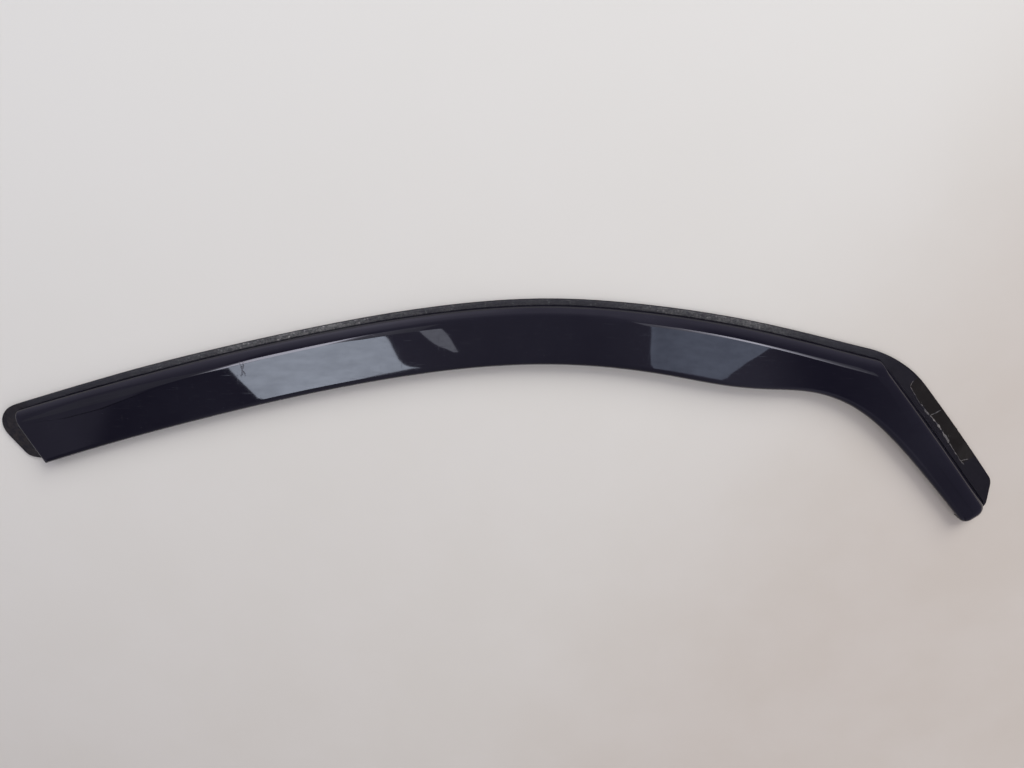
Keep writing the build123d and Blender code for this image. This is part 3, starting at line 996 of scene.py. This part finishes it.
class DEFLECTOR_OT_tape_residue(Operator):
    """Leave the film and the pale strings of old tape on the front tongue"""

    bl_idname = "deflector.tape_residue"
    bl_label = "Tape residue"

    def execute(self, context):
        finish = context.scene.deflector_finish
        sheet = context.scene.deflector_sizes.sheet / MM
        shift = np.array(context.scene["deflector_shift"])
        draw = np.random.default_rng(finish.seed)
        along = unit(FRONT_CORNER - BEND_CORNER)
        outward = -inward(along)

        def on_tongue(places, height):
            places = np.asarray(places)
            return at_height(BEND_CORNER + places[:, :1] * along + places[:, 1:] * outward, height)

        def ragged(count, amount):
            return amount * np.convolve(draw.normal(size=count + 8), np.ones(5) / 5, "same")[4:-4]

        film = Blocks()
        inner = smooth_curve(FILM_INNER, count=FILM_STEPS)
        outer = smooth_curve(FILM_OUTER, count=FILM_STEPS)
        inner[:, 1] += ragged(FILM_STEPS, INNER_RAGGED)
        outer[:, 1] += ragged(FILM_STEPS, OUTER_RAGGED)
        rows = [on_tongue(inner, sheet + FILM_SUNK)]
        for share in np.linspace(0, 1, FILM_ROWS):
            row = inner * (1 - share) + outer * share
            row[0, 0] += draw.normal() * ENDS_RAGGED
            row[-1, 0] += draw.normal() * ENDS_RAGGED
            rows.append(on_tongue(row, sheet + FILM_TOP))
        rows[1][:, 2] = rows[-1][:, 2] = sheet + FILM_BORDER
        rows.append(on_tongue(outer, sheet + FILM_SUNK))
        under = [at_height(row[:, :2], sheet + FILM_SUNK) for row in rows]
        film.grid(rows, 0)
        film.grid(under, 0)
        for end in (0, -1):
            film.grid([[row[end] for row in rows], [row[end] for row in under]], 0)
        piece = film.piece("tape_film", shift, [tape_film(finish)])
        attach(piece, "root")

        strings = Blocks()
        for knots, width in ADHESIVE_STRINGS:
            count = max(FEWEST_STEPS, int(STRING_STEPS * Rail(smooth_curve(knots)).length))
            line = smooth_curve(knots, count=count)
            slope = np.gradient(line, axis=0)
            slope /= np.linalg.norm(slope, axis=1, keepdims=True)
            ends = np.minimum(1, np.minimum(np.arange(count), np.arange(count)[::-1]) / 2)
            half = np.maximum(STRING_LEAST, width / 2 * (1 + ragged(count, WIDTH_VARIES))) * ends
            middle = line + inward(slope) * ragged(count, COURSE_VARIES * width)[:, None]
            tall = STRING_HEIGHT * (1 + np.abs(ragged(count, HEIGHT_VARIES))) * ends
            loop = []
            for across, up in STRING_SECTION:
                spot = on_tongue(middle + inward(slope) * (across * half)[:, None], sheet)
                spot[:, 2] += up * tall
                loop.append(spot)
            strings.grid(loop, 0)
        piece = strings.piece("adhesive_strings", shift, [old_adhesive(finish)])
        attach(piece, "root")
        return {"FINISHED"}


# Soft lights: place and side in metres, and the spread of the beam in degrees
SOFT_LIGHTS = {
    "key": ((1.5, 3.2, 2.1), 2.4, 120.0),
    "top": ((-0.4, 0.8, 3.2), 4.0, 180.0),
    "fill": ((1.6, -1.8, 1.5), 2.0, 120.0),
}
LIGHT_TINT = (1.0, 0.99, 0.95)

# Painted shade on the board, where its light falls off: slope in plan of each change, and where it
# begins and ends in metres
FLOOR_SHADE_SLOPE, FLOOR_SHADE_FADE = 0.3, (-0.65, 0.55)
CORNER_SHADE_SLOPE, CORNER_SHADE_FADE = 0.6, (0.12, 0.53)

# Lit panes that the gloss face mirrors: corners of their images on it, in millimetres from the middle
# of the part
REAR_PANE = [
    (-244, 48), (-237, 39), (-229, 30), (-224, 24), (-221, 20.5), (-215, 19.5), (-183, 26.5),
    (-146, 34.8), (-111, 42.6), (-92, 46.5), (-81, 49), (-73, 49.5), (-83, 50.5), (-88, 52.6),
    (-92.3, 56.8), (-97, 67), (-99, 72.4), (-101, 76), (-103.6, 78.5), (-108, 79.4), (-118.5, 78.9),
    (-129, 78.2), (-133, 85.5), (-180, 86), (-236, 72), (-260, 66),
]
SMALL_PANE = [
    (-80.5, 86.7), (-73, 83), (-67, 77), (-61, 72), (-56, 69), (-50, 67), (-44, 64), (-40, 64),
    (-44, 72), (-48.7, 80.2), (-53.4, 85.1), (-57, 86.3), (-64, 86.6),
]
FRONT_PANE = [
    (129, 95), (130, 80), (130, 64), (131, 53), (134, 49), (153, 46), (175, 42), (189, 39), (195, 38),
    (200, 40), (203, 44), (210, 49), (217, 55), (225, 60), (233, 66), (243, 74), (200, 90),
]

# Their light, and how it rises and falls along each of them
PANES = {
    "rear_pane": (REAR_PANE, (5.5, 6.0, 7.1), [(0.0, 0.88), (0.5, 1.0), (1.0, 0.88)]),
    "small_pane": (SMALL_PANE, (2.0, 2.05, 2.4), [(0.0, 1.0), (1.0, 0.97)]),
    "front_pane": (FRONT_PANE, (1.6, 1.8, 2.35), [(0.0, 0.92), (0.06, 0.78), (0.4, 0.95), (1.0, 1.0)]),
}
PANE_CLOUDS = (0.89, 1.11)

# Strips of light that show along the edge of the gloss face: both ends in X and the hem side in Y, in
# metres, and how bright each is from its rear end on
STRIPS = {
    "rear_strip": ((-1.6, -0.27, -0.2), [
        (0.0, 0.044), (0.42, 0.044), (0.47, 0.15), (0.525, 0.92), (0.765, 0.96), (0.805, 0.3),
        (0.84, 0.10), (1.0, 0.06),
    ]),
    "front_strip": ((0.40, 1.26, -0.17), [
        (0.03, 0.14), (0.16, 0.22), (0.25, 0.45), (0.39, 0.95), (0.47, 1.05), (0.60, 0.60), (0.72, 0.33),
        (0.81, 0.16), (0.95, 0.07),
    ]),
}
STRIP_LIGHT = (8.7, 8.6, 9.9)
STRIP_ROOF_SIDE = 0.35

# How light the room is from the rear end of the part to its front: on its dark side, on its pale
# side, and near the horizon there
DARK_WALLS = [
    (0.25, 0.64), (0.256, 0.60), (0.270, 0.22), (0.335, 0.30), (0.425, 0.66), (0.55, 0.52), (0.64, 0.90),
    (0.69, 0.22), (0.74, 0.48),
]
PALE_WALLS = [
    (0.15, 0.82), (0.22, 0.84), (0.27, 0.88), (0.31, 1.0), (0.36, 0.95), (0.42, 0.77), (0.5, 0.67),
    (0.6, 0.70), (0.7, 0.72), (0.8, 0.72), (0.93, 0.6),
]
HORIZON = [(0.1, 0.3), (0.2, 1.0), (0.3, 1.0), (0.42, 0.4), (0.5, 0.0), (0.7, 0.0), (0.8, 0.35), (0.9, 0.2)]
HORIZON_LIGHT = (1.2, 1.15, 1.4)
REAR_LIGHT = (1.3, 1.3, 1.35)
BLACK = (0, 0, 0)

# Where the pale side, the horizon and the light behind the rear end set in, as parts of a direction
PALE_FADE = (0.2, 0.8)
HORIZON_FADE = (0.70, 0.90)
REAR_FADE_X, REAR_FADE_Y = (-0.74, -0.86), (-0.2, -0.4)

SENSOR_WIDTH = 36.0
NEAREST_SIGHT = 0.01


def seen_only_by(held, kind):
    """Hide an object from all rays but one kind."""
    for ray in ("camera", "glossy", "diffuse", "shadow", "transmission", "volume_scatter"):
        setattr(held, "visible_" + ray, ray == kind)


def stage_mesh(name, points, faces, material):
    """Part of the stage."""
    mesh = bpy.data.meshes.new(name)
    mesh.from_pydata(points, [], faces)
    mesh.materials.append(material)
    held = placed(name, mesh)
    return held


def pale_board(stage):
    """Matte board with painted shade, darker and warmer towards the hem side and beyond the arm, and faint
    clouds.
    """
    s = Surface("pale_board")
    # Painted shade: the board's tone darkens towards the hem side and beyond the arm, standing in for light
    # falling off
    shade_slant = s.minus(s.times(s.axis("X"), FLOOR_SHADE_SLOPE), s.axis("Y"))
    tone = s.mix(s.ramp(shade_slant, *FLOOR_SHADE_FADE), stage.floor, stage.floor_shade_hem_side)
    corner = s.minus(s.axis("X"), s.times(s.axis("Y"), CORNER_SHADE_SLOPE))
    tone = s.mix(s.ramp(corner, *CORNER_SHADE_FADE), tone, stage.floor_shade_beyond_arm)
    cloud = s.times(s.ramp(s.noise(7.0, 4.0, 0.6), 0.3, 0.7), 0.1)
    s.feed("Base Color", s.mix(cloud, tone, stage.floor_cloud))
    s.fix("Roughness", 0.85)
    s.fix("Specular IOR Level", 0.0)
    return s.material


def even_backdrop(stage):
    """Backdrop of one tone, whatever light falls on it."""
    s = Surface("pale_backdrop")
    s.fix("Base Color", (*BLACK, 1))
    s.fix("Specular IOR Level", 0.0)
    s.fix("Emission Color", (*stage.backdrop, 1))
    s.fix("Emission Strength", 1.0)
    return s.material


def pane_glow(name, light, stops):
    """Cloudy light, brighter and dimmer along a pane."""
    material = bpy.data.materials.new(name)
    material.use_nodes = True
    tree = material.node_tree
    tree.nodes.remove(tree.nodes["Principled BSDF"])
    glow = tree.nodes.new("ShaderNodeEmission")
    strength = max(light)
    glow.inputs["Color"].default_value = (*[part / strength for part in light], 1)
    n = Nodes(tree, "Generated")
    clouds = [share * strength for share in PANE_CLOUDS]
    cloud = n.ramp(n.noise(9.0, 5.0, 0.65), 0.3, 0.7, *clouds)
    n.link(n.times(n.levels(n.axis("X"), stops), cloud), glow.inputs["Strength"])
    n.link(glow.outputs[0], tree.nodes["Material Output"].inputs["Surface"])
    return material


def lit_pane(name, corners, light, stops):
    """Lit pane that only gloss shows."""
    points = [tuple(corner) for corner in corners]
    held = stage_mesh(name, points, [tuple(range(len(points)))], pane_glow(name, light, stops))
    seen_only_by(held, "glossy")


def soft_light(name, watts, aim):
    """Large soft light that gloss doesn't show, turned to the object."""
    place, side, spread = SOFT_LIGHTS[name]
    light = bpy.data.lights.new(name, "AREA")
    light.size = side
    light.energy = watts
    light.spread = math.radians(spread)
    light.color = LIGHT_TINT
    held = placed(name, light)
    held.location = place
    towards = np.array(aim) - np.array(place)
    held.rotation_euler = Vector(towards).to_track_quat("-Z", "Y").to_euler()
    held.visible_glossy = False


def mirrored(plan, shift, spot, eye, height):
    """Where the sight of one spot on the gloss face, turned back by it, reaches a height."""
    drawn = np.array(spot, float) - shift[:2]
    off = drawn - ARCH_CENTRE
    bulge = (np.linalg.norm(off) - plan.crest_radius) / plan.crown_radius
    normal = np.array([*(unit(off) * bulge), math.sqrt(1 - bulge**2)])
    point = np.array([*spot, float(plan.crown(drawn, plan.crest))]) * MM
    sight = unit(point - eye)
    away = sight - 2 * (sight @ normal) * normal
    return point + away * (height - point[2]) / away[2]


def room(stage):
    """Room that gloss shows: dark on the hem side, pale on the roof side, uneven along the part."""
    world = bpy.data.worlds.new("room")
    world.use_nodes = True
    w = Nodes(world.node_tree, "Generated")
    x = w.axis("X")
    y = w.axis("Y")
    along = w.ramp_even(x, -1, 1)
    dark = w.mix(w.levels(along, DARK_WALLS), BLACK, stage.room_dark)
    pale = w.mix(w.levels(along, PALE_WALLS), BLACK, stage.room_pale)
    tone = w.mix(w.ramp(y, *PALE_FADE), dark, pale)
    horizon = w.times(w.ramp(y, *HORIZON_FADE), w.levels(along, HORIZON))
    tone = w.mix(horizon, tone, HORIZON_LIGHT)
    behind = w.times(w.ramp(x, *REAR_FADE_X), w.ramp(y, *REAR_FADE_Y))
    tone = w.mix(behind, tone, REAR_LIGHT)
    w.link(tone, world.node_tree.nodes["Background"].inputs["Color"])
    return world


class DEFLECTOR_OT_stage(Operator):
    """Set the floor, the backdrop, the soft light and the camera"""

    bl_idname = "deflector.stage"
    bl_label = "Stage"

    def execute(self, context):
        scene = context.scene
        stage = scene.deflector_stage
        half = stage.floor_half
        corners = [(-half, -half, 0), (half, -half, 0), (half, half, 0), (-half, half, 0)]
        stage_mesh("floor", corners, [(0, 1, 2, 3)], pale_board(stage))

        turns = np.radians(np.arange(0, 360, 5))
        rim = stage.backdrop_radius * np.stack([np.cos(turns), np.sin(turns)], axis=-1)
        points = [(*spot, height) for height in (0, stage.backdrop_height) for spot in rim]
        count = len(rim)
        faces = [(i, (i + 1) % count, (i + 1) % count + count, i + count) for i in range(count)]
        backdrop = stage_mesh("backdrop", points, faces, even_backdrop(stage))
        seen_only_by(backdrop, "camera")

        for name in SOFT_LIGHTS:
            soft_light(name, getattr(stage, name + "_power"), stage.aim)

        camera = placed("camera", bpy.data.cameras.new("camera"))
        camera.data.lens = stage.lens
        camera.data.sensor_width = SENSOR_WIDTH
        camera.data.clip_start = NEAREST_SIGHT
        back = np.array([0, math.sin(stage.tilt), math.cos(stage.tilt)])
        camera.location = np.array(stage.aim) + stage.distance * back
        camera.rotation_euler = (-stage.tilt, 0, 0)
        scene.camera = camera

        plan = SheetPlan(scene.deflector_sizes)
        shift = np.array(scene["deflector_shift"])
        eye = np.array(camera.location)
        for name, (spots, light, stops) in PANES.items():
            corners = [mirrored(plan, shift, spot, eye, stage.pane_height) for spot in spots]
            lit_pane(name, corners, light, stops)
        height = stage.pane_height + stage.strip_rise
        for name, ((first, last, low), stops) in STRIPS.items():
            plan_corners = [(first, low), (last, low), (last, STRIP_ROOF_SIDE), (first, STRIP_ROOF_SIDE)]
            lit_pane(name, [(*corner, height) for corner in plan_corners], STRIP_LIGHT, stops)

        scene.world = room(stage)
        scene.view_settings.view_transform = "Standard"
        return {"FINISHED"}


class DEFLECTOR_PT_sidebar(Panel):
    """Sizes, finish and steps of the deflector"""

    bl_idname = "DEFLECTOR_PT_sidebar"
    bl_label = "Window rain deflector"
    bl_space_type = "VIEW_3D"
    bl_region_type = "UI"
    bl_category = "Deflector"

    def draw(self, context):
        for step in STEPS:
            self.layout.operator(step.bl_idname)
        scene = context.scene
        for group in (scene.deflector_sizes, scene.deflector_finish, scene.deflector_stage):
            column = self.layout.column(align=True)
            for name in changeable(group):
                column.prop(group, name)


STEPS = (DEFLECTOR_OT_sheet, DEFLECTOR_OT_tape_residue, DEFLECTOR_OT_stage)
CLASSES = (DeflectorSizes, DeflectorFinish, DeflectorStage, *STEPS, DEFLECTOR_PT_sidebar)


def register():
    for item in CLASSES:
        bpy.utils.register_class(item)
    bpy.types.Scene.deflector_sizes = PointerProperty(type=DeflectorSizes)
    bpy.types.Scene.deflector_finish = PointerProperty(type=DeflectorFinish)
    bpy.types.Scene.deflector_stage = PointerProperty(type=DeflectorStage)


def unregister():
    del bpy.types.Scene.deflector_stage
    del bpy.types.Scene.deflector_finish
    del bpy.types.Scene.deflector_sizes
    for item in reversed(CLASSES):
        bpy.utils.unregister_class(item)


def main():
    register()
    bpy.ops.deflector.sheet()
    bpy.ops.deflector.tape_residue()
    bpy.ops.deflector.stage()


if __name__ == "__main__":
    main()
